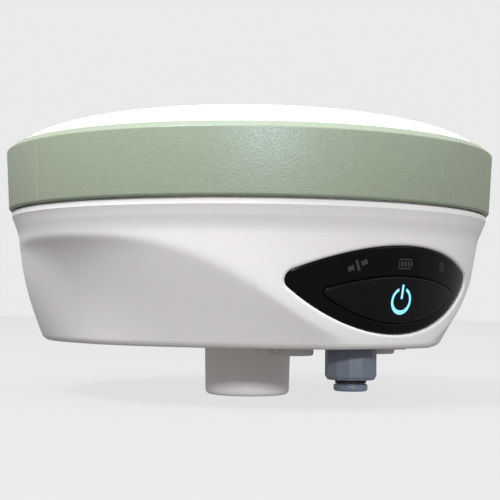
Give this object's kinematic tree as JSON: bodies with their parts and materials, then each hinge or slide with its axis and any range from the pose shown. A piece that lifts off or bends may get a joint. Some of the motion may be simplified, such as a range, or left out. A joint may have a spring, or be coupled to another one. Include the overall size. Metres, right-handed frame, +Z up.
{
  "type": "gnss receiver",
  "caption": "Drum-shaped satellite positioning receiver with a shallow white dome, a green bumper ring, side scoops, a black leaf-shaped panel with a power key, and a threaded pole boss below.",
  "frame": {"origin": "middle of the pole boss's lower face, which is the mouth of the pole thread and the lowest point of the receiver", "axes": "+Z up along the survey pole; the control panel faces -Y; the side scoops are on -X and +X"},
  "size_m": [0.195, 0.195, 0.1112],
  "materials": {
    "radome_white": "fine satin moulding, white",
    "housing_white": "fine matte moulding, warm white",
    "bumper_green": "soft-touch sage green with a fine leather grain",
    "panel_black": "polished black lens",
    "button_black": "black key, slightly less glossy than the panel",
    "symbol_cyan": "translucent light guide, lit pale blue",
    "icon_grey": "dark smoked windows, barely visible when off",
    "cap_grey": "moulded blue-grey nylon",
    "black_rubber": "moulded black rubber",
    "connector_metal": "nickel-plated, turned",
    "insert_brass": "turned brass",
    "steel": "zinc-plated steel",
    "board_green": "green circuit board",
    "shield_tin": "tinned shielding can",
    "plane_aluminium": "sheet aluminium",
    "patch_ceramic": "fired ceramic with a silvered face",
    "battery_case": "dark grey battery case",
    "contact_gold": "gold-plated pins in a black block",
    "lamp_clear": "clear lens, unlit",
    "plug_grey": "moulded pale grey rubber",
    "vent_grey": "dark grey moulded vent"
  },
  "bodies": {
    "receiver": {"amplifier_shield": "shield_tin", "antenna_connector": "connector_metal", "antenna_ground_plane": "plane_aluminium", "antenna_link": "insert_brass", "battery_bay": "battery_case", "battery_contacts": "contact_gold", "battery_pack": "battery_case", "bay_screws": "steel", "bluetooth_module": "shield_tin", "board_screws": "steel", "board_standoffs": "insert_brass", "bumper_ring_front": "bumper_green", "bumper_ring_rear": "bumper_green", "connector_nut": "connector_metal", "control_panel": "panel_black", "cover_screws": "steel", "data_socket": "connector_metal", "data_socket_contacts": "contact_gold", "door_hinge_pin": "steel", "gnss_module": "shield_tin", "ground_plane_screws": "steel", "housing_seal": "black_rubber", "indicator_lenses": "icon_grey", "lower_housing": "housing_white", "lower_patch": "patch_ceramic", "main_board": "board_green", "panel_board": "board_green", "panel_board_screws": "steel", "panel_gasket": "black_rubber", "plug_anchors": "plug_grey", "pole_thread_insert": "insert_brass", "power_socket": "connector_metal", "power_socket_contacts": "contact_gold", "power_switch": "vent_grey", "pressure_vent": "vent_grey", "radio_modem": "shield_tin", "radome_cover": "radome_white", "sim_holder": "shield_tin", "speaker": "vent_grey", "status_lamps": "lamp_clear", "upper_patch": "patch_ceramic"},
    "power_button": {"power_button": "button_black", "power_symbol": "symbol_cyan"},
    "connector_cap": {"connector_cap": "cap_grey", "cap_tether_ring": "black_rubber"},
    "data_plug": {"data_socket_plug": "plug_grey"},
    "power_plug": {"power_socket_plug": "plug_grey"},
    "battery_door": {"battery_door": "housing_white", "door_seal": "black_rubber"},
    "door_lock": {"door_lock": "cap_grey"}
  },
  "joints": [
    {"name": "power_button_press", "type": "slide", "parent": "receiver", "child": "power_button", "axis": [0, 1, 0], "range_m": [0, 0.0006], "stiffness_N_per_m": 1500},
    {"name": "connector_cap_turn", "type": "hinge", "parent": "receiver", "child": "connector_cap", "pos_m": [0, -0.0614, 0.0135], "axis": [0, 0, -1], "continuous": true},
    {"name": "data_plug_swing", "type": "hinge", "parent": "receiver", "child": "data_plug", "pos_m": [-0.0313, -0.052, 0.0193], "axis": [0, 1, 0], "range_deg": [0, 110]},
    {"name": "power_plug_swing", "type": "hinge", "parent": "receiver", "child": "power_plug", "pos_m": [0.0313, -0.052, 0.0193], "axis": [0, -1, 0], "range_deg": [0, 110]},
    {"name": "battery_door_swing", "type": "hinge", "parent": "receiver", "child": "battery_door", "pos_m": [0, 0.0215, 0.0209], "axis": [-1, 0, 0], "range_deg": [0, 95]},
    {"name": "door_lock_slide", "type": "slide", "parent": "battery_door", "child": "door_lock", "axis": [0, 1, 0], "range_m": [0, 0.003]}
  ]
}
